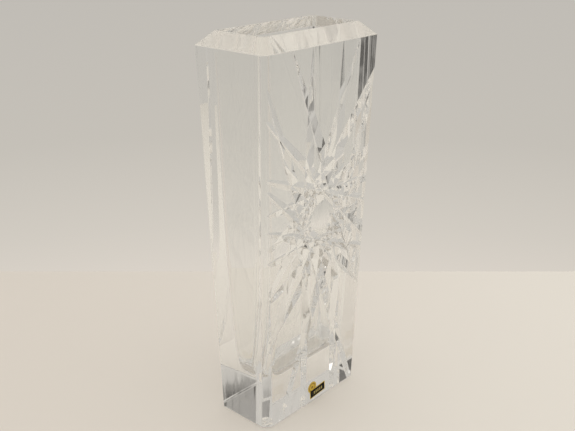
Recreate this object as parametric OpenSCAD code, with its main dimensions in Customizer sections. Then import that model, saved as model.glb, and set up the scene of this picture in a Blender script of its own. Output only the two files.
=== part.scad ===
// Cut crystal slab vase: tapered body with a sixteen-groove star and a lens, and a small foil label.
// Millimetres, +Z up. The origin is the middle of the flat base. The star faces -Y.

/* [Body] */
// height from the table to the rim
height = 234; // [232:0.5:236]
// width across the cut face at the rim
top_w = 97.5; // [95.5:0.5:99.5]
// depth front to back at the rim
top_d = 53.5; // [52:0.5:55]
// width across the cut face at the base
base_w = 86; // [84.5:0.5:87.5]
// depth front to back at the base
base_d = 42; // [41:0.5:43]
// leg of the flat down each upright edge, at the base
edge_cut = 4.5; // [4:0.25:5]
// leg of the same flat at the rim
edge_cut_top = 2.4; // [2:0.2:3.2]
// leg of the small flat round the base edge
foot_bevel = 0.9; // [0.7:0.1:1.4]

/* [Rim] */
// horizontal run of the rim bevel
rim_run = 9.2; // [8.8:0.1:9.3]
// drop of the rim bevel on the outside
rim_drop = 7.5; // [6.5:0.5:8.5]

/* [Cavity] */
// glass thickness of the four walls
wall = 9.6; // [9.5:0.1:10.4]
// radius of the upright inner corners
well_corner = 5; // [4:0.5:6]
// solid glass under the well
floor_t = 27; // [25:1:29]
// height where the long walls begin to close in
well_turn = 116; // [110:1:122]
// radius of the gutter along the well bottom
well_gutter = 7; // [6:0.5:8]
// radius where the well bottom turns up to the narrow walls
well_end = 15; // [13:0.5:16]

/* [Star cut] */
// height of the star centre up the cut face
star_h = 126; // [123:0.5:129]
// sideways place of the star centre
star_x = 3; // [1:0.5:4]
// turn of the whole star on the face
star_turn = 1.1; // [0:0.1:2]
// distance of each groove from the star centre
star_tangent = 13.9; // [13.4:0.1:14.4]
// deepest point of each groove
groove_depth = 3.3; // [2.8:0.1:3.6]
// step between the depths of the grooves, no two of which are cut equally deep
depth_step = 0.04; // [0.02:0.01:0.05]
// angle between the two walls of a groove
groove_angle = 104; // [98:1:110]
// steepness of a groove's run-out, against one that climbs evenly from the middle
groove_rise = 1.6; // [1.4:0.05:1.8]
// length of a groove toward the left border, as a share of the way there
reach_left = 1.25; // [1.15:0.05:1.35]
// length of a groove toward the right border
reach_right = 1.7; // [1.5:0.05:1.9]
// length of a groove toward the upper border
reach_up = 1.02; // [1:0.01:1.06]
// length of a groove toward the lower border
reach_down = 1.4; // [1.3:0.05:1.6]
// radius of the round lens
lens_r = 11; // [10.6:0.1:11.3]
// depth of the round lens
lens_depth = 1.8; // [1.6:0.1:2]
// sideways place of the lens from the star centre
lens_x = -1.2; // [-1.6:0.2:-0.6]

/* [Label] */
// length of the dark panel
panel_l = 13.4; // [12:0.2:14]
// height of the dark panel
panel_h = 5.2; // [4.6:0.2:5.8]
// gold border left round the panel
foil_border = 0.5; // [0.3:0.1:0.7]
// radius of the round seal above the panel
seal_r = 3.9; // [3.5:0.1:4.2]
// height of the panel middle up the cut face
label_h = 6.6; // [6.4:0.1:7.2]
// sideways place of the panel middle
label_x = 3.4; // [2:0.2:4.6]
// turn of the label on the face
label_turn = 5; // [0:1:6]
// thickness of the foil
foil_t = 0.12; // [0.1:0.02:0.2]
// thickness of the dark panel
panel_t = 0.1; // [0.08:0.02:0.2]

/* [Hidden] */
$fn = 96;
big = 400;
lean_x = atan((top_w - base_w) / 2 / height);
lean_y = atan((top_d - base_d) / 2 / height);
// the upright flats: distance from the axis along the diagonal at the base and at the rim
flat_base = (base_w / 2 + base_d / 2 - edge_cut) / sqrt(2);
flat_top = (top_w / 2 + top_d / 2 - edge_cut_top) / sqrt(2);
lean_flat = atan((flat_top - flat_base) / height);
corner_dir = [45, 135, 225, 315];
side_x = [0, 180];
side_y = [90, 270];
// half sizes of the rim opening before its corners are rounded
lip_x = top_w / 2 - rim_run;
lip_y = top_d / 2 - rim_run;
bevel_z = height - rim_drop;
// half sizes of the well at the base plane, carried up with the same lean as the outside
well_x = base_w / 2 - wall;
well_y = base_d / 2 - wall;
turn_y = well_y + well_turn * tan(lean_y) + 0.05;
gutter_k = well_turn - floor_t - well_gutter;
flank_r = (turn_y * turn_y + gutter_k * gutter_k - well_gutter * well_gutter)
        / (2 * (turn_y * cos(lean_y) - sin(lean_y) * gutter_k - well_gutter));
flank_y = turn_y - flank_r * cos(lean_y);
flank_z = well_turn + flank_r * sin(lean_y);
join_tilt = atan((flank_z - floor_t - well_gutter) / -flank_y);
join_z = floor_t + well_gutter - well_gutter * sin(join_tilt);
end_z = floor_t + well_end - 0.3;
end_x = well_x + end_z * tan(lean_x) + 0.03 - well_end;
lens_ball = (lens_r * lens_r + lens_depth * lens_depth) / (2 * lens_depth);
face_side = (top_w + base_w) / 4 - (edge_cut + edge_cut_top) / 2;
face_up = height - rim_drop - star_h;
// what the cutter's hand left: how far each groove stands off the regular star, and its turn,
// for the groove on the one side of the centre and then for the one on the other side
hand = [[0.2, -0.6, 1.3, -0.6], [-1.1, 1.2, 1.5, 2.5], [0.3, 6, 0, 0], [-0.7, -1.2, 0, 0],
        [0, -1.1, -0.6, -0.5], [1.3, -2, -0.3, 0.5], [-1.1, 0.8, -1.4, -0.8], [0.7, -0.4, 0.2, 0.2]];

// Everything outside a plane that stands at distance d, leaning out with height, turned by a.
module beyond(d, lean, a) {
    rotate([0, 0, a]) translate([d, 0, 0]) rotate([0, lean, 0])
        translate([0, -big / 2, -big / 4]) cube([big / 2, big, 1.5 * big]);
}

// Everything above a plane that falls outward from the lip to the line at bevel_z.
module above_bevel(outer, lip, a) {
    rotate([0, 0, a]) translate([lip, 0, height]) rotate([0, atan(rim_drop / (outer - lip)), 0])
        translate([-big / 4, -big / 2, 0]) cube([big / 2, big, big / 4]);
}

// Everything under a 45 degree plane at the foot of a side.
module under_foot(d, a) {
    rotate([0, 0, a]) translate([d - foot_bevel, 0, 0]) rotate([0, 45, 0])
        translate([0, -big / 2, -big / 4]) cube([big / 4, big, big / 2]);
}

module envelope() {
    difference() {
        translate([-top_w / 2, -top_d / 2, 0]) cube([top_w, top_d, height]);
        for (a = side_x) beyond(base_w / 2, lean_x, a);
        for (a = side_y) beyond(base_d / 2, lean_y, a);
        for (a = corner_dir) beyond(flat_base, lean_flat, a);
        for (a = side_x) above_bevel(base_w / 2 + bevel_z * tan(lean_x), lip_x, a);
        for (a = side_y) above_bevel(base_d / 2 + bevel_z * tan(lean_y), lip_y, a);
        for (a = corner_dir) above_bevel(flat_base + bevel_z * tan(lean_flat), (lip_x + lip_y) / sqrt(2), a);
        for (a = side_x) under_foot(base_w / 2, a);
        for (a = side_y) under_foot(base_d / 2, a);
        for (a = corner_dir) under_foot(flat_base, a);
    }
}

// A four-sided well that leans with the outside, with half sizes hx and hy at the base plane.
module leaning_well(hx, hy) {
    difference() {
        translate([-top_w / 2, -top_d / 2, floor_t - 2]) cube([top_w, top_d, height]);
        for (a = side_x) beyond(hx, lean_x, a);
        for (a = side_y) beyond(hy, lean_y, a);
    }
}

module well_post(sx, sy) {
    px = sx * (well_x - well_corner / cos(lean_x));
    py = sy * (well_y - well_corner / cos(lean_y));
    vx = sx * tan(lean_x);
    vy = sy * tan(lean_y);
    intersection() {
        translate([px, py, 0]) rotate([0, atan(sqrt(vx * vx + vy * vy)), atan2(vy, vx)])
            cylinder(h = height * 1.3, r = well_corner);
        translate([-big / 2, -big / 2, floor_t - 2]) cube([big, big, height]);
    }
}

module well_plan() {
    union() {
        leaning_well(well_x, well_y - well_corner / cos(lean_y));
        leaning_well(well_x - well_corner / cos(lean_x), well_y);
        for (sx = [-1, 1]) for (sy = [-1, 1]) well_post(sx, sy);
    }
}

// The closing lower part of the well, seen along its length.
module well_gutter_shape() {
    union() {
        translate([-big / 2, -big / 2, well_turn]) cube([big, big, big]);
        intersection() {
            translate([-top_w, flank_y, flank_z]) rotate([0, 90, 0]) cylinder(h = 2 * top_w, r = flank_r);
            translate([-top_w, -flank_y, flank_z]) rotate([0, 90, 0]) cylinder(h = 2 * top_w, r = flank_r);
            translate([-top_w, -top_d, join_z]) cube([2 * top_w, 2 * top_d, well_turn - join_z]);
        }
        translate([-top_w, 0, floor_t + well_gutter]) rotate([0, 90, 0])
            cylinder(h = 2 * top_w, r = well_gutter);
    }
}

// The turned-up ends of the well bottom, seen from the cut face.
module well_end_shape() {
    union() {
        translate([-big / 2, -big / 2, end_z]) cube([big, big, big]);
        translate([-end_x, -big / 2, floor_t - 2]) cube([2 * end_x, big, big / 2]);
        for (s = [-1, 1]) translate([s * end_x, big / 2, end_z]) rotate([90, 0, 0])
            cylinder(h = big, r = well_end);
    }
}

module well() {
    intersection() {
        well_plan();
        well_gutter_shape();
        well_end_shape();
    }
}

// Puts its children on the cut face at x, h: local X runs right, local Z up the face, -Y out of the glass.
module on_face(x, h) {
    translate([x, -(base_d / 2 + h * tan(lean_y)), h]) rotate([lean_y, 0, 0]) children();
}

// A long vee trough along X, its keel at depth at x = 0 and climbing toward +X at the slope rise.
module vee(depth, rise) {
    open_h = 6 * groove_depth;
    open_w = open_h * tan(groove_angle / 2);
    translate([0, depth, 0]) rotate([0, 0, -atan(rise)])
        translate([-big, 0, 0]) rotate([90, 0, 90]) linear_extrude(height = 2 * big)
            polygon([[0, 0], [-open_h, open_w], [-open_h, -open_w]]);
}

// One groove: level in the middle, running out to a point at both ends.
module groove(depth, run_a, run_b) {
    climb = depth * groove_rise;
    intersection() {
        vee(depth, 0);
        vee(climb, climb / run_a);
        mirror([1, 0, 0]) vee(climb, climb / run_b);
    }
}

// Length of a groove from its middle in direction t: the way to the nearest border and past it.
function way_x(mx, t) = abs(cos(t)) < 0.01 ? big : (face_side - mx * sign(cos(t))) / abs(cos(t));
function way_z(mz, t) = abs(sin(t)) < 0.01 ? big
    : sin(t) > 0 ? (face_up - mz) / sin(t) : (star_h + mz) / -sin(t);
function run(mx, mz, t) = way_x(star_x + mx, t) < way_z(mz, t)
    ? way_x(star_x + mx, t) * (cos(t) > 0 ? reach_right : reach_left)
    : way_z(mz, t) * (sin(t) < 0 ? reach_down : reach_up);

// Depth of the groove on side s of pair k.
function deep(k, s) = groove_depth + depth_step * ((14 * k + 3.5 * (1 - s)) % 16 - 7.5);

module star() {
    on_face(star_x, star_h) {
        for (k = [0:7]) for (s = [-1, 1]) {
            off = star_tangent + hand[k][1 - s];
            t = k * 180 / 8 + star_turn + hand[k][2 - s];
            mx = -s * off * sin(t);
            mz = s * off * cos(t);
            translate([mx, 0, mz]) rotate([0, -t, 0])
                groove(deep(k, s), run(mx, mz, t), run(mx, mz, t + 180));
        }
        translate([lens_x, lens_depth - lens_ball, 0]) sphere(r = lens_ball);
    }
}

module crystal_body() {
    color([0.86, 0.91, 0.92, 0.5]) difference() {
        envelope();
        well();
        star();
    }
}

module panel_block(grow, t) {
    translate([-panel_l / 2 - grow, -t, -panel_h / 2 - grow])
        cube([panel_l + 2 * grow, t, panel_h + 2 * grow]);
}

// Gold backing: a bordered strip with a round seal standing on its left part.
module label_foil() {
    color([0.83, 0.66, 0.12]) on_face(label_x, label_h) rotate([0, -label_turn, 0]) union() {
        panel_block(foil_border, foil_t);
        translate([-panel_l / 2 + seal_r * 0.45, 0, panel_h / 2 + seal_r * 0.62])
            rotate([90, 0, 0]) cylinder(h = foil_t, r = seal_r);
    }
}

module label_panel() {
    color([0.06, 0.06, 0.07]) on_face(label_x, label_h) rotate([0, -label_turn, 0])
        translate([0, -foil_t, 0]) panel_block(0, panel_t);
}

crystal_body();
label_foil();
label_panel();
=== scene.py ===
import bpy
import math
from mathutils import Matrix, Vector


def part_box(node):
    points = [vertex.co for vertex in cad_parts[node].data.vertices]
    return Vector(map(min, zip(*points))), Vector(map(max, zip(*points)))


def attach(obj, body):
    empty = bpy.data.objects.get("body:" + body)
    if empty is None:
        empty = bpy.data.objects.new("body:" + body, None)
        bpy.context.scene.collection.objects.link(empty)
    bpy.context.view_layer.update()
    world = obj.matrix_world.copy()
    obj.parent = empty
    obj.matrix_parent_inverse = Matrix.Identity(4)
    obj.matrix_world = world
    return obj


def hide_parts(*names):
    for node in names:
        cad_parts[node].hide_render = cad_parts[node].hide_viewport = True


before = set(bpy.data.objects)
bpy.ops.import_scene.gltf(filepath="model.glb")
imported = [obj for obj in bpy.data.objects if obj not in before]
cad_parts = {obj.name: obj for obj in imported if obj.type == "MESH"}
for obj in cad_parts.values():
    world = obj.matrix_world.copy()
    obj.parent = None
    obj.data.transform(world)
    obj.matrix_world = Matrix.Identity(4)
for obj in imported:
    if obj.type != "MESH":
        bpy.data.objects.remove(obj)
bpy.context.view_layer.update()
low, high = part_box("crystal_body")
height = high[2]
print("frame loaded, vase", [round(h - l, 4) for l, h in zip(low, high)])


# small helpers, used by every piece

def selectNothing():
    if bpy.context.object and bpy.context.object.mode != 'OBJECT':
        bpy.ops.object.mode_set(mode='OBJECT')
    bpy.ops.object.select_all(action='DESELECT')


def makeActive(piece):
    selectNothing()
    piece.select_set(True)
    bpy.context.view_layer.objects.active = piece


def applyPlace(piece):
    makeActive(piece)
    bpy.ops.object.transform_apply(location=True, rotation=True, scale=True)


def newPiece(name):
    piece = bpy.context.object
    piece.name = name
    piece.data.name = name
    return piece


def editAll(piece):
    makeActive(piece)
    bpy.ops.object.mode_set(mode='EDIT')
    bpy.ops.mesh.select_all(action='SELECT')


def weldPiece(piece, distance):
    # stays in edit mode, with everything selected
    editAll(piece)
    bpy.ops.mesh.remove_doubles(threshold=distance)
    bpy.ops.mesh.normals_make_consistent(inside=False)


def finishCutter():
    bpy.ops.mesh.select_all(action='SELECT')
    bpy.ops.mesh.normals_make_consistent(inside=False)
    bpy.ops.object.mode_set(mode='OBJECT')


def softenEdges(width, steps=2):
    # rounds the selected edges and leaves edit mode
    bpy.ops.mesh.bevel(offset=width, segments=steps, affect='EDGES', clamp_overlap=True)
    bpy.ops.object.mode_set(mode='OBJECT')


def slicePiece(piece, point, outward):
    # keeps what is behind the plane and closes the cut
    editAll(piece)
    bpy.ops.mesh.bisect(plane_co=point, plane_no=outward, use_fill=True, clear_outer=True)
    bpy.ops.object.mode_set(mode='OBJECT')


def carve(piece, cutter):
    makeActive(piece)
    bpy.ops.object.modifier_add(type='BOOLEAN')
    cut = piece.modifiers[-1]
    cut.operation = 'DIFFERENCE'
    cut.solver = 'EXACT'
    cut.object = cutter
    bpy.ops.object.modifier_apply(modifier=cut.name)
    bpy.data.objects.remove(cutter)


def pickEdges(piece, test):
    # stays in edit mode, with the edges selected whose two ends pass the test
    bpy.ops.object.mode_set(mode='EDIT')
    bpy.ops.mesh.select_mode(type='EDGE')
    bpy.ops.mesh.select_all(action='DESELECT')
    bpy.ops.object.mode_set(mode='OBJECT')
    verts = piece.data.vertices
    for edge in piece.data.edges:
        edge.select = all(test(verts[i].co) for i in edge.vertices)
    bpy.ops.object.mode_set(mode='EDIT')


# crystal body: the tapered slab, its flats and its rim

slab = {
    "topW": 0.0975, "topD": 0.0535,      # outside at the rim
    "baseW": 0.086, "baseD": 0.042,      # outside at the foot
    "edgeCut": 0.0045, "edgeCutTop": 0.0024,   # leg of the upright flats
    "footBevel": 0.0009,
    "rimRun": 0.0092, "rimDrop": 0.0075,
    "softEdge": 0.00022,                 # polished arris
    "weld": 0.00001,
}


def buildSlab():
    s = slab
    bpy.ops.mesh.primitive_cube_add(size=1, location=(0, 0, height / 2), scale=(s["topW"], s["topD"], height))
    piece = newPiece("crystalVase")
    applyPlace(piece)
    leanW = math.atan((s["topW"] - s["baseW"]) / 2 / height)
    leanD = math.atan((s["topD"] - s["baseD"]) / 2 / height)
    flatBase = (s["baseW"] / 2 + s["baseD"] / 2 - s["edgeCut"]) / math.sqrt(2)
    flatTop = (s["topW"] / 2 + s["topD"] / 2 - s["edgeCutTop"]) / math.sqrt(2)
    leanFlat = math.atan((flatTop - flatBase) / height)
    lipX, lipY = s["topW"] / 2 - s["rimRun"], s["topD"] / 2 - s["rimRun"]
    lipFlat = (lipX + lipY) / math.sqrt(2)

    def side(turn, away, lean, lip):
        # the way it faces, its distance from the middle at the foot, its lean, and the distance of its lip
        a = math.radians(turn)
        return Vector((math.cos(a), math.sin(a), 0)), away, lean, lip

    sides = [side(turn, s["baseW"] / 2, leanW, lipX) for turn in (0, 180)]
    sides += [side(turn, s["baseD"] / 2, leanD, lipY) for turn in (90, 270)]
    sides += [side(turn, flatBase, leanFlat, lipFlat) for turn in (45, 135, 225, 315)]
    up = Vector((0, 0, 1))
    for out, away, lean, lip in sides:
        slicePiece(piece, out * away, out * math.cos(lean) - up * math.sin(lean))
    for out, away, lean, lip in sides:
        outer = away + (height - s["rimDrop"]) * math.tan(lean)
        slope = math.atan(s["rimDrop"] / (outer - lip))
        slicePiece(piece, out * lip + up * height, out * math.sin(slope) + up * math.cos(slope))
        slicePiece(piece, out * (away - s["footBevel"]), (out - up).normalized())
    weldPiece(piece, s["weld"])
    softenEdges(s["softEdge"])
    return piece, leanW, leanD


# the well: a rounded outline drawn down in steps

well = {
    "wall": 0.0096,
    "corner": 0.005, "cornerSteps": 14,
    "floor": 0.027,
    "turn": 0.116,                       # the long walls begin to close here
    "gutter": 0.007,                     # radius along the bottom
    "end": 0.015,                        # radius up to the narrow walls
    "endSink": 0.0003,                   # how far the end radius starts below its own height
    "over": 0.008,                       # how far the cutter stands out of the rim
    "steps": [0.2, 0.16, 0.13, 0.116, 0.106, 0.096, 0.087, 0.079, 0.072, 0.066, 0.0605, 0.0555, 0.0505,
              0.0465, 0.0425, 0.039, 0.036, 0.0335, 0.0318, 0.0304, 0.0293, 0.0284, 0.0278, 0.0274, 0.0271],
    "lipX": 0.0392, "lipY": 0.01725,     # the well's edge at the top lies inside these
    "softLip": 0.0001,
}


def arcHalf(radius, below):
    # half width of a round bottom at a depth below its centre
    tiny = 1e-10
    return math.sqrt(max(radius ** 2 - below ** 2, tiny))


def wellHalf(z, leanW, leanD):
    # half width and half depth of the well at a height
    w, s = well, slab
    halfX = s["baseW"] / 2 - w["wall"] + z * math.tan(leanW)
    halfY = s["baseD"] / 2 - w["wall"] + z * math.tan(leanD)
    gutterZ = w["floor"] + w["gutter"]
    # an arc, the flank, joins the straight wall at the turn and the gutter below it without a crease
    turnY = s["baseD"] / 2 - w["wall"] + w["turn"] * math.tan(leanD)
    rise = w["turn"] - w["floor"] - w["gutter"]
    flank = (turnY ** 2 + rise ** 2 - w["gutter"] ** 2) / (
        2 * (turnY * math.cos(leanD) - math.sin(leanD) * rise - w["gutter"]))
    flankY, flankZ = turnY - flank * math.cos(leanD), w["turn"] + flank * math.sin(leanD)
    tilt = math.atan((flankZ - w["floor"] - w["gutter"]) / -flankY)
    joinZ = gutterZ - w["gutter"] * math.sin(tilt)
    if z < joinZ:
        halfY = arcHalf(w["gutter"], gutterZ - z)
    elif z < w["turn"]:
        halfY = flankY + math.sqrt(flank ** 2 - (flankZ - z) ** 2)
    endZ = w["floor"] + w["end"] - w["endSink"]
    if z < endZ:
        endX = s["baseW"] / 2 - w["wall"] + endZ * math.tan(leanW) - w["end"]
        halfX = endX + arcHalf(w["end"], endZ - z)
    return halfX, halfY


def buildWell(leanW, leanD):
    z = height + well["over"]
    halfX, halfY = wellHalf(z, leanW, leanD)
    bpy.ops.mesh.primitive_plane_add(size=1, location=(0, 0, z))
    cutter = newPiece("wellCutter")
    cutter.scale = (2 * halfX, 2 * halfY, 1)
    applyPlace(cutter)
    bpy.ops.object.mode_set(mode='EDIT')
    bpy.ops.mesh.select_mode(type='VERT')
    bpy.ops.mesh.select_all(action='SELECT')
    bpy.ops.mesh.bevel(offset=well["corner"], segments=well["cornerSteps"], profile=0.5, affect='VERTICES')
    bpy.ops.mesh.select_mode(type='FACE')
    bpy.ops.mesh.select_all(action='SELECT')
    for step in well["steps"]:
        nextX, nextY = wellHalf(step, leanW, leanD)
        bpy.ops.mesh.extrude_region_move(TRANSFORM_OT_translate={"value": (0, 0, step - z)})
        bpy.ops.transform.resize(value=(nextX / halfX, nextY / halfY, 1), center_override=(0, 0, step))
        halfX, halfY, z = nextX, nextY, step
    finishCutter()
    return cutter


def softenLip(piece):
    # the edge where the well breaks the top
    makeActive(piece)
    pickEdges(piece, lambda at: (at.z > height - slab["weld"] and abs(at.x) < well["lipX"]
                                 and abs(at.y) < well["lipY"]))
    softenEdges(well["softLip"])


# the star: sixteen grooves and the lens

star = {
    "middle": (0.003, 0.126),            # across and up the cut face
    "turn": 1.1,                         # of the whole star
    "tangent": 0.0139,                   # from the middle to each groove's line
    "depth": 0.0033, "depthStep": 0.00004,   # no two grooves are cut equally deep
    "deal": 14, "dealFar": 7,            # how the sixteen depths are dealt out, far from the neighbours'
    "angle": 104,                        # between a groove's two walls
    "reachLeft": 1.25, "reachUp": 1.02,  # shares of the way to the face's border
    "reachRight": 1.7, "reachDown": 1.4,
    "stations": 9,                       # rings along each half of a groove
    "overrun": 1.06,                     # the last ring lies outside the glass
    "lift": 0.004,                       # how far a cutter stands out of the face
    "lensRadius": 0.0124, "lensDepth": 0.0022, "lensAside": -0.0003,
    "lensSegments": 72, "lensRings": 150,
    "weld": 0.000002, "smoothAngle": 12,
    # what the cutter's hand left: each groove's stand-off in mm and turn against the regular star, two
    # grooves to a direction
    "hand": [((0.2, -0.6), (1.3, -0.6)), ((-1.1, 1.2), (1.5, 2.5)), ((0.3, 6), (0, 0)),
             ((-0.7, -1.2), (0, 0)), ((0, -1.1), (-0.6, -0.5)), ((1.3, -2), (-0.3, 0.5)),
             ((-1.1, 0.8), (-1.4, -0.8)), ((0.7, -0.4), (0.2, 0.2))],
}


def faceMatrix(leanD):
    # a place on the cut face, at the star's middle
    x, h = star["middle"]
    out = slab["baseD"] / 2 + h * math.tan(leanD)
    return Matrix.Translation((x, -out, h)) @ Matrix.Rotation(leanD, 4, 'X')


def grooveRun(midX, midZ, turn):
    # the way to the nearest border of the face and past it
    middleX, middleZ = star["middle"]
    side = (slab["topW"] + slab["baseW"]) / 4 - (slab["edgeCut"] + slab["edgeCutTop"]) / 2
    up = height - slab["rimDrop"] - middleZ
    c, s = math.cos(turn), math.sin(turn)
    level = 0.01                                         # a slope under this never meets that border
    wayX = wayZ = math.inf
    if abs(c) > level:
        wayX = (side - math.copysign(1, c) * (middleX + midX)) / abs(c)
    if abs(s) > level:
        wayZ = (up - midZ) / s if s > 0 else (middleZ + midZ) / -s
    if wayX < wayZ:
        return wayX * (star["reachRight"] if c > 0 else star["reachLeft"])
    return wayZ * (star["reachDown"] if s < 0 else star["reachUp"])


def grooveRings(midX, midZ, turn, deep):
    # distance along the groove and depth there, run out in an arc at both ends
    rings = [(0, deep)]
    for side, way in ((-1, turn + math.pi), (1, turn)):
        run = grooveRun(midX, midZ, way)
        for i in range(1, star["stations"] + 1):
            share = i / star["stations"] * star["overrun"]
            rings.append((side * run * share, deep * (1 - share ** 2)))
    return sorted(rings)


def buildGroove(midX, midZ, turn, deep, leanD):
    # the path of a vee-edged wheel: a triangle, point down, at the first ring, drawn through the rest
    lift = star["lift"]
    spread = math.tan(math.radians(star["angle"] / 2))
    bpy.ops.mesh.primitive_circle_add(vertices=3, radius=1, fill_type='NGON',
                                      location=(0, 0, 0), rotation=(0, 0, 0))
    cutter = newPiece("grooveCutter")
    for v, (y, z) in zip(cutter.data.vertices, ((1, 0), (0, 1), (0, -1))):
        v.co = (0, y, z)
    bpy.ops.object.mode_set(mode='EDIT')
    bpy.ops.mesh.select_mode(type='FACE')
    bpy.ops.mesh.select_all(action='SELECT')
    (lastX, lastDeep), *others = grooveRings(midX, midZ, turn, deep)
    bpy.ops.transform.resize(value=(1, lastDeep + lift, (lastDeep + lift) * spread),
                             center_override=(0, 0, 0))
    bpy.ops.transform.translate(value=(lastX, -lift, 0))
    for x, ringDeep in others:
        bpy.ops.mesh.extrude_region_move(TRANSFORM_OT_translate={"value": (x - lastX, 0, 0)})
        grow = (ringDeep + lift) / (lastDeep + lift)
        bpy.ops.transform.resize(value=(1, grow, grow), center_override=(x, -lift, 0))
        lastX, lastDeep = x, ringDeep
    finishCutter()
    cutter.matrix_world = (faceMatrix(leanD) @ Matrix.Translation((midX, 0, midZ))
                           @ Matrix.Rotation(-turn, 4, 'Y'))
    applyPlace(cutter)
    return cutter


def cutStar(piece, leanD):
    pitch = 180 / len(star["hand"])
    count = 2 * len(star["hand"])
    for k, pair in enumerate(star["hand"]):
        for side, first, (off, extra) in zip((1, -1), (0, star["dealFar"]), pair):
            turn = math.radians(pitch * k + star["turn"] + extra)
            away = side * (star["tangent"] + off / 1000)
            order = (star["deal"] * k + first) % count
            deep = star["depth"] + star["depthStep"] * (order - (count - 1) / 2)
            carve(piece, buildGroove(-away * math.sin(turn), away * math.cos(turn), turn, deep, leanD))


def cutLens(piece, leanD):
    r, d = star["lensRadius"], star["lensDepth"]
    ball = (r * r + d * d) / (2 * d)
    bpy.ops.mesh.primitive_uv_sphere_add(segments=star["lensSegments"], ring_count=star["lensRings"],
                                         radius=ball, location=(0, 0, 0), rotation=(math.pi / 2, 0, 0))
    cutter = newPiece("lensCutter")
    applyPlace(cutter)
    cutter.matrix_world = faceMatrix(leanD) @ Matrix.Translation((star["lensAside"], d - ball, 0))
    applyPlace(cutter)
    carve(piece, cutter)


vase, leanW, leanD = buildSlab()
print("slab cut")
carve(vase, buildWell(leanW, leanD))
softenLip(vase)
print("well cut")
cutStar(vase, leanD)
cutLens(vase, leanD)
weldPiece(vase, star["weld"])
bpy.ops.object.mode_set(mode='OBJECT')
bpy.ops.object.shade_smooth_by_angle(angle=math.radians(star["smoothAngle"]))
print("star cut,", len(vase.data.polygons), "faces")


# steps shared by the materials and the room; tree is the node tree they are laid in

def newMaterial(name):
    material = bpy.data.materials.new(name)
    material.use_nodes = True
    material.node_tree.nodes.clear()
    return material, material.node_tree


def mathStep(tree, operation, first, second=None):
    step = tree.nodes.new("ShaderNodeMath")
    step.operation = operation
    for socket, value in zip(step.inputs, (first, second)):
        if isinstance(value, (int, float)):
            socket.default_value = value
        elif value is not None:
            tree.links.new(value, socket)
    return step.outputs["Value"]


def dotWith(tree, vector, fixed):
    dot = tree.nodes.new("ShaderNodeVectorMath")
    dot.operation = 'DOT_PRODUCT'
    dot.inputs[1].default_value = fixed
    tree.links.new(vector, dot.inputs[0])
    return dot.outputs["Value"]


def splitVector(tree, vector):
    parts = tree.nodes.new("ShaderNodeSeparateXYZ")
    tree.links.new(vector, parts.inputs["Vector"])
    return parts.outputs


def distanceOf(tree, across, rise):
    squares = [mathStep(tree, 'MULTIPLY', leg, leg) for leg in (across, rise)]
    return mathStep(tree, 'SQRT', mathStep(tree, 'ADD', *squares))


def noiseOn(tree, vector, scale, detail=2.0):
    noise = tree.nodes.new("ShaderNodeTexNoise")
    noise.inputs["Scale"].default_value = scale
    noise.inputs["Detail"].default_value = detail
    tree.links.new(vector, noise.inputs["Vector"])
    return noise


def rangeOf(tree, value, start, end, most=1.0, smooth=False):
    # from nothing at start to the most at end
    spread = tree.nodes.new("ShaderNodeMapRange")
    if smooth:
        spread.interpolation_type = 'SMOOTHSTEP'
    spread.inputs["From Min"].default_value = start
    spread.inputs["From Max"].default_value = end
    spread.inputs["To Max"].default_value = most
    tree.links.new(value, spread.inputs["Value"])
    return spread.outputs["Result"]


def rampOf(tree, value, first, last):
    ramp = tree.nodes.new("ShaderNodeValToRGB")
    ramp.color_ramp.elements[0].color = first
    ramp.color_ramp.elements[1].color = last
    tree.links.new(value, ramp.inputs["Fac"])
    return ramp


def mixColour(tree, share, first, second):
    blend = tree.nodes.new("ShaderNodeMix")
    blend.data_type = 'RGBA'
    factor, colourA, colourB = blend.inputs[0], blend.inputs[6], blend.inputs[7]
    tree.links.new(share, factor)
    for socket, paint in ((colourA, first), (colourB, second)):
        if isinstance(paint, tuple):
            socket.default_value = paint
        else:
            tree.links.new(paint, socket)
    return blend.outputs[2]


def mixShaders(tree, share, first, second):
    mix = tree.nodes.new("ShaderNodeMixShader")
    for socket, source in zip(mix.inputs, (share, first, second)):
        tree.links.new(source, socket)
    return mix.outputs["Shader"]


def bumpOf(tree, noise, depth):
    bump = tree.nodes.new("ShaderNodeBump")
    bump.inputs["Distance"].default_value = depth
    tree.links.new(noise.outputs["Fac"], bump.inputs["Height"])
    return bump


def showSurface(tree, shader):
    output = tree.nodes.new("ShaderNodeOutputMaterial")
    tree.links.new(shader, output.inputs["Surface"])


# finishes

crystal = {
    "tint": (0.985, 0.99, 0.985, 1), "ior": 1.545,
    "shadow": (0.93, 0.93, 0.93, 1),             # light let through to the paper
    "lineScale": (60, 60, 6),                    # faint upright draw lines from the mould
    "ripple": 0.05, "rippleDepth": 0.002,
    "wallFrom": 0.975, "wallFull": 0.995,        # how squarely a face looks along x or y to be a flat wall
    "hazeScale": 45, "hazeDetail": 5,            # dried water
    "hazeFrom": 0.45, "hazeFull": 0.8, "hazeMost": 0.03,
    "rimFacing": 0.7, "rimAbove": 0.2,           # faces that look up more than this, above this height
    "rimSoft": 0.14,                             # the bevel is polished by hand, a little softer
}


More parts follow.
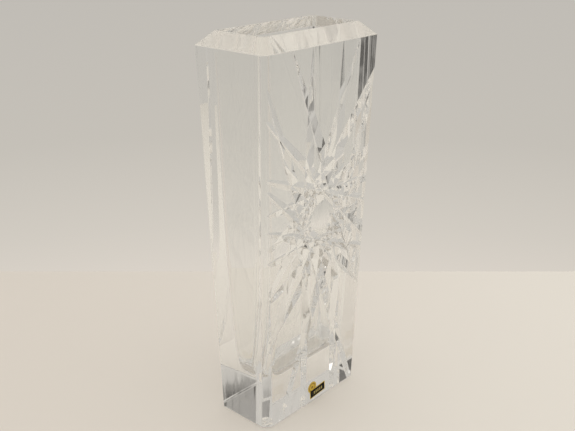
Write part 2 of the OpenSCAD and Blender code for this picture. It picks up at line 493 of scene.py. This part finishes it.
def polishedCrystal():
    c = crystal
    material, tree = newMaterial("polishedCrystal")
    coords = tree.nodes.new("ShaderNodeTexCoord")
    geometry = tree.nodes.new("ShaderNodeNewGeometry")
    facing = tree.nodes.new("ShaderNodeVectorMath")
    facing.operation = 'ABSOLUTE'
    tree.links.new(geometry.outputs["True Normal"], facing.inputs[0])
    parts = splitVector(tree, facing.outputs["Vector"])
    onWall = rangeOf(tree, mathStep(tree, 'MAXIMUM', parts["X"], parts["Y"]), c["wallFrom"], c["wallFull"])

    stretch = tree.nodes.new("ShaderNodeMapping")
    stretch.inputs["Scale"].default_value = c["lineScale"]
    tree.links.new(coords.outputs["Object"], stretch.inputs["Vector"])
    bump = bumpOf(tree, noiseOn(tree, stretch.outputs["Vector"], 1.0), c["rippleDepth"])
    tree.links.new(mathStep(tree, 'MULTIPLY', onWall, c["ripple"]), bump.inputs["Strength"])

    haze = noiseOn(tree, coords.outputs["Object"], c["hazeScale"], c["hazeDetail"]).outputs["Fac"]
    haze = rangeOf(tree, haze, c["hazeFrom"], c["hazeFull"], c["hazeMost"])
    normal = splitVector(tree, geometry.outputs["True Normal"])
    place = splitVector(tree, coords.outputs["Object"])
    onRim = mathStep(tree, 'MULTIPLY', mathStep(tree, 'GREATER_THAN', normal["Z"], c["rimFacing"]),
                     mathStep(tree, 'GREATER_THAN', place["Z"], c["rimAbove"]))
    softness = mathStep(tree, 'ADD', mathStep(tree, 'MULTIPLY', haze, onWall),
                        mathStep(tree, 'MULTIPLY', onRim, c["rimSoft"]))

    glass = tree.nodes.new("ShaderNodeBsdfPrincipled")
    glass.inputs["Base Color"].default_value = c["tint"]
    glass.inputs["Transmission Weight"].default_value = 1.0
    glass.inputs["IOR"].default_value = c["ior"]
    tree.links.new(softness, glass.inputs["Roughness"])
    tree.links.new(bump.outputs["Normal"], glass.inputs["Normal"])
    clear = tree.nodes.new("ShaderNodeBsdfTransparent")
    clear.inputs["Color"].default_value = c["shadow"]
    path = tree.nodes.new("ShaderNodeLightPath")
    shadow = path.outputs["Is Shadow Ray"]
    showSurface(tree, mixShaders(tree, shadow, glass.outputs["BSDF"], clear.outputs["BSDF"]))
    return material


label = {
    "middle": (0.0034, 0.0066), "turn": 5,       # panel middle across and up the face, and its turn
    "seal": (-0.00495, 0.00502),                 # seal middle from the panel middle, along and up the label
    "ringInner": 0.0024, "ringOuter": 0.0029, "dot": 0.0009,
    "goldDark": (0.55, 0.36, 0.03, 1), "goldLight": (0.85, 0.62, 0.08, 1), "mark": (0.24, 0.12, 0.02, 1),
    "crinkleScale": 900, "crinkleDetail": 3, "crinkle": 0.25, "crinkleDepth": 0.0003,
    "goldMetal": 0.6, "goldRoughness": 0.38,
    "filmDark": (0.003, 0.003, 0.004, 1), "filmLight": (0.012, 0.012, 0.012, 1), "bar": (0.66, 0.52, 0.18, 1),
    "barPitch": 0.00175, "barShare": 0.42,       # a plain row of gold bars, and how much of each step is bar
    "barHalf": 0.0011, "rowHalf": 0.0046,
    "grainScale": 1500, "filmRoughness": 0.4, "filmGloss": 0.04,
}


def labelPlane(tree, coords, shiftX, shiftZ):
    # distances along and up the label from a point on it
    turn = math.radians(label["turn"])
    x, z = label["middle"]
    along = dotWith(tree, coords, (math.cos(turn), 0, math.sin(turn)))
    up = dotWith(tree, coords, (-math.sin(turn), 0, math.cos(turn)))
    along = mathStep(tree, 'SUBTRACT', along, x * math.cos(turn) + z * math.sin(turn) + shiftX)
    up = mathStep(tree, 'SUBTRACT', up, z * math.cos(turn) - x * math.sin(turn) + shiftZ)
    return along, up


def goldFoil():
    material, tree = newMaterial("goldFoil")
    coords = tree.nodes.new("ShaderNodeTexCoord").outputs["Object"]
    crinkle = noiseOn(tree, coords, label["crinkleScale"], label["crinkleDetail"])
    bump = bumpOf(tree, crinkle, label["crinkleDepth"])
    bump.inputs["Strength"].default_value = label["crinkle"]
    tone = rampOf(tree, crinkle.outputs["Fac"], label["goldDark"], label["goldLight"])
    away = distanceOf(tree, *labelPlane(tree, coords, *label["seal"]))
    ring = mathStep(tree, 'MULTIPLY', mathStep(tree, 'GREATER_THAN', away, label["ringInner"]),
                    mathStep(tree, 'LESS_THAN', away, label["ringOuter"]))
    marked = mathStep(tree, 'MAXIMUM', ring, mathStep(tree, 'LESS_THAN', away, label["dot"]))
    foil = tree.nodes.new("ShaderNodeBsdfPrincipled")
    foil.inputs["Metallic"].default_value = label["goldMetal"]
    foil.inputs["Roughness"].default_value = label["goldRoughness"]
    tree.links.new(mixColour(tree, marked, tone.outputs["Color"], label["mark"]), foil.inputs["Base Color"])
    tree.links.new(bump.outputs["Normal"], foil.inputs["Normal"])
    showSurface(tree, foil.outputs["BSDF"])
    return material


def darkFilm():
    material, tree = newMaterial("darkFilm")
    coords = tree.nodes.new("ShaderNodeTexCoord").outputs["Object"]
    grain = noiseOn(tree, coords, label["grainScale"])
    tone = rampOf(tree, grain.outputs["Fac"], label["filmDark"], label["filmLight"])
    along, up = labelPlane(tree, coords, 0, 0)
    cell = mathStep(tree, 'FRACT', mathStep(tree, 'DIVIDE', along, label["barPitch"]))
    bars = mathStep(tree, 'LESS_THAN', cell, label["barShare"])
    for value, limit in ((up, label["barHalf"]), (along, label["rowHalf"])):
        inside = mathStep(tree, 'LESS_THAN', mathStep(tree, 'ABSOLUTE', value), limit)
        bars = mathStep(tree, 'MULTIPLY', bars, inside)
    film = tree.nodes.new("ShaderNodeBsdfPrincipled")
    film.inputs["Roughness"].default_value = label["filmRoughness"]
    film.inputs["Specular IOR Level"].default_value = label["filmGloss"]
    tree.links.new(mixColour(tree, bars, tone.outputs["Color"], label["bar"]), film.inputs["Base Color"])
    showSurface(tree, film.outputs["BSDF"])
    return material


def dress(piece, material):
    piece.data.materials.clear()
    piece.data.materials.append(material)


dress(vase, polishedCrystal())
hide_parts("crystal_body")
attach(vase, "root")
dress(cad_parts["label_foil"], goldFoil())
dress(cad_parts["label_panel"], darkFilm())
print("materials set")


# camera

camera = {
    "place": (-0.34660, -0.30870, 0.30165), "down": 21.23, "heading": 41.81,
    "lens": 51.91, "sensor": 36, "near": 0.01,
}
aim = (math.radians(90 - camera["down"]), 0, math.radians(camera["heading"] - 90))
bpy.ops.object.camera_add(location=camera["place"], rotation=aim)
eye = bpy.context.object
eye.data.lens = camera["lens"]
eye.data.sensor_width = camera["sensor"]
eye.data.clip_start = camera["near"]
bpy.context.scene.camera = eye

heading = math.radians(camera["heading"])
ahead = Vector((math.cos(heading), math.sin(heading), 0))
toRight = Vector((math.sin(heading), -math.cos(heading), 0))
eyeFoot = Vector((camera["place"][0], camera["place"][1], 0))


# floor, backdrop and light

paper = {
    "edge": 0.645, "front": -0.35,                       # far and near edge from the camera's foot
    "half": 1.1,                                         # half its width
    "drop": 0.0003,                                      # air left under the polished base
    # left and right are one paper tone with painted light, shaded on the left and lit on the right
    "left": (0.686, 0.631, 0.558, 1), "right": (0.745, 0.70, 0.624, 1),
    "paintedLightFrom": -0.1, "paintedLightTo": 0.5,                   # where the painted light turns from the shaded left tone to the lit right tone
    "cloudScale": 3, "cloudShare": 0.25,
    "roughness": 0.9, "gloss": 0.05,
}


def floorPaper():
    # paper that grows lighter towards the right: painted light for the stronger light on the right; the cloud
    # is the paper's own uneven tone
    material, tree = newMaterial("floorPaper")
    coords = tree.nodes.new("ShaderNodeTexCoord").outputs["Object"]
    cloud = noiseOn(tree, coords, paper["cloudScale"]).outputs["Fac"]
    shift = mathStep(tree, 'ADD', mathStep(tree, 'MULTIPLY', cloud, paper["cloudShare"]),
                     dotWith(tree, coords, toRight))
    # painted light: the lit right tone takes over towards the right
    paintedLightShare = rangeOf(tree, shift, paper["paintedLightFrom"], paper["paintedLightTo"], smooth=True)
    tone = rampOf(tree, paintedLightShare, paper["left"], paper["right"])
    sheet = tree.nodes.new("ShaderNodeBsdfPrincipled")
    sheet.inputs["Roughness"].default_value = paper["roughness"]
    sheet.inputs["Specular IOR Level"].default_value = paper["gloss"]
    tree.links.new(tone.outputs["Color"], sheet.inputs["Base Color"])
    showSurface(tree, sheet.outputs["BSDF"])
    return material


def buildFloor():
    middle = eyeFoot + ahead * ((paper["edge"] + paper["front"]) / 2)
    bpy.ops.mesh.primitive_plane_add(size=2, location=(middle.x, middle.y, -paper["drop"]),
                                     rotation=(0, 0, heading))
    floor = newPiece("paperFloor")
    floor.scale = ((paper["edge"] - paper["front"]) / 2, paper["half"], 1)
    applyPlace(floor)
    dress(floor, floorPaper())


softbox = {"place": (0.1, -0.1, 1.3), "size": 0.9, "power": 8}


def hangSoftbox():
    bpy.ops.object.light_add(type='AREA', location=softbox["place"])
    lamp = bpy.context.object
    lamp.name = "overheadSoftbox"
    lamp.data.shape = 'RECTANGLE'
    lamp.data.size = lamp.data.size_y = softbox["size"]
    lamp.data.energy = softbox["power"]
    toFoot = -Vector(softbox["place"])                   # the vase stands at the origin
    lamp.rotation_euler = toFoot.to_track_quat('-Z', 'Y').to_euler()
    lamp.visible_glossy = False                          # the glass sees the room, not the lamp
    lamp.visible_transmission = False


room = {
    "light": 0.64, "lightTint": (1.0, 0.985, 0.965, 1),  # level that lights the paper
    "tones": [                           # sine of the height angle, and the wall's tone there
        (-0.45, (0.730, 0.672, 0.604, 1)),
        (-0.37, (0.640, 0.600, 0.540, 1)),
        (-0.27, (0.560, 0.530, 0.480, 1)),
        (-0.10, (0.530, 0.505, 0.465, 1)),
        (0.05, (0.570, 0.545, 0.505, 1)),
        (0.35, (0.590, 0.560, 0.515, 1)),
    ],
    # dark things and one lamp round the vase: turn from the camera's heading, height angle, half width and
    # half height, darkest and lightest tone, raggedness of the edge
    "spots": [
        {"turn": 84, "up": 40, "wide": 0.34, "tall": 0.18, "tone": 0.04, "light": 0.32, "mottle": 0.48},
        {"turn": -32, "up": -5, "wide": 0.28, "tall": 0.10, "tone": 0.06, "light": 0.16, "mottle": 0.24},
        {"turn": -101, "up": -6, "wide": 0.15, "tall": 0.09, "tone": 0.06, "light": 0.26, "mottle": 0.4},
        {"turn": -102, "up": 33, "wide": 0.20, "tall": 0.10, "tone": 0.02, "light": 0.10, "mottle": 0.4},
        {"turn": -130, "up": 1, "wide": 0.28, "tall": 0.12, "tone": 0.14, "light": 0.46, "mottle": 0.48},
        {"turn": 156, "up": -6, "wide": 0.32, "tall": 0.11, "tone": 0.06, "light": 0.16, "mottle": 0.4},
        {"turn": 80, "up": 2, "wide": 0.11, "tall": 0.13, "tone": 0.12, "light": 0.48, "mottle": 0.4},
        {"turn": -172, "up": 25, "wide": 0.18, "tall": 0.06, "tone": 1.3, "light": 1.3, "mottle": 0.24},
    ],
    "spotOut": 1.15, "spotFull": 0.85,   # a spot starts and is whole at these shares of its size
    "mottleScale": 14, "mottleDetail": 4, "mottleRoughness": 0.65,
    "swirlScale": 11, "swirlDistortion": 1.4,   # the lighter patches in them
    "swirlFrom": 0.46, "swirlFull": 0.58,
    "green": 0.95, "blue": 0.88,         # what makes a grey warm
}


def warmGrey(tone):
    return (tone, tone * room["green"], tone * room["blue"], 1)


def wallTones(tree, heightOf):
    first, *between, last = room["tones"]
    lowest, highest = first[0], last[0]
    ramp = rampOf(tree, rangeOf(tree, heightOf, lowest, highest), first[1], last[1])
    for at, paint in between:
        ramp.color_ramp.elements.new((at - lowest) / (highest - lowest)).color = paint
    return ramp.outputs["Color"]


def addSpot(tree, colour, spot, way, heightOf, mottle, patches):
    turn, up = math.radians(spot["turn"]), math.radians(spot["up"])
    front = ahead * math.cos(turn) + toRight * math.sin(turn)
    side = toRight * math.cos(turn) - ahead * math.sin(turn)
    across = mathStep(tree, 'DIVIDE', dotWith(tree, way, side), spot["wide"])
    rise = mathStep(tree, 'DIVIDE', mathStep(tree, 'SUBTRACT', heightOf, math.sin(up)), spot["tall"])
    ragged = mathStep(tree, 'MULTIPLY', mottle, spot["mottle"])
    away = mathStep(tree, 'ADD', distanceOf(tree, across, rise), ragged)
    inside = rangeOf(tree, away, room["spotOut"], room["spotFull"], smooth=True)
    facing = mathStep(tree, 'GREATER_THAN', dotWith(tree, way, front), 0)
    patched = mixColour(tree, patches, warmGrey(spot["tone"]), warmGrey(spot["light"]))
    return mixColour(tree, mathStep(tree, 'MULTIPLY', inside, facing), colour, patched)


def background(tree, colour, strength=1.0):
    shader = tree.nodes.new("ShaderNodeBackground")
    if isinstance(colour, tuple):
        shader.inputs["Color"].default_value = colour
    else:
        tree.links.new(colour, shader.inputs["Color"])
    shader.inputs["Strength"].default_value = strength
    return shader.outputs["Background"]


def buildRoom():
    world = bpy.data.worlds.new("room")
    bpy.context.scene.world = world
    world.use_nodes = True
    tree = world.node_tree
    tree.nodes.clear()
    way = tree.nodes.new("ShaderNodeTexCoord").outputs["Generated"]
    heightOf = dotWith(tree, way, (0, 0, 1))
    mottle = noiseOn(tree, way, room["mottleScale"], room["mottleDetail"])
    mottle.inputs["Roughness"].default_value = room["mottleRoughness"]
    swirl = noiseOn(tree, way, room["swirlScale"])
    swirl.inputs["Distortion"].default_value = room["swirlDistortion"]
    patches = rangeOf(tree, swirl.outputs["Fac"], room["swirlFrom"], room["swirlFull"], smooth=True)
    wall = colour = wallTones(tree, heightOf)
    for spot in room["spots"]:
        colour = addSpot(tree, colour, spot, way, heightOf, mottle.outputs["Fac"], patches)
    # the paper is lit plainly, the glass looks into the room, and past the paper the camera sees the wall
    path = tree.nodes.new("ShaderNodeLightPath")
    looked = mathStep(tree, 'MAXIMUM', path.outputs["Is Glossy Ray"], path.outputs["Is Transmission Ray"])
    light = background(tree, room["lightTint"], room["light"])
    shader = mixShaders(tree, looked, light, background(tree, colour))
    shader = mixShaders(tree, path.outputs["Is Camera Ray"], shader, background(tree, wall))
    output = tree.nodes.new("ShaderNodeOutputWorld")
    tree.links.new(shader, output.inputs["Surface"])


buildFloor()
hangSoftbox()
buildRoom()
bounces = 40                                             # light turns many times inside the cuts
cycles = bpy.context.scene.cycles
cycles.max_bounces = cycles.transmission_bounces = cycles.glossy_bounces = bounces
bpy.context.scene.view_settings.view_transform = 'Standard'
print("stage set")

selectNothing()
bpy.context.view_layer.update()
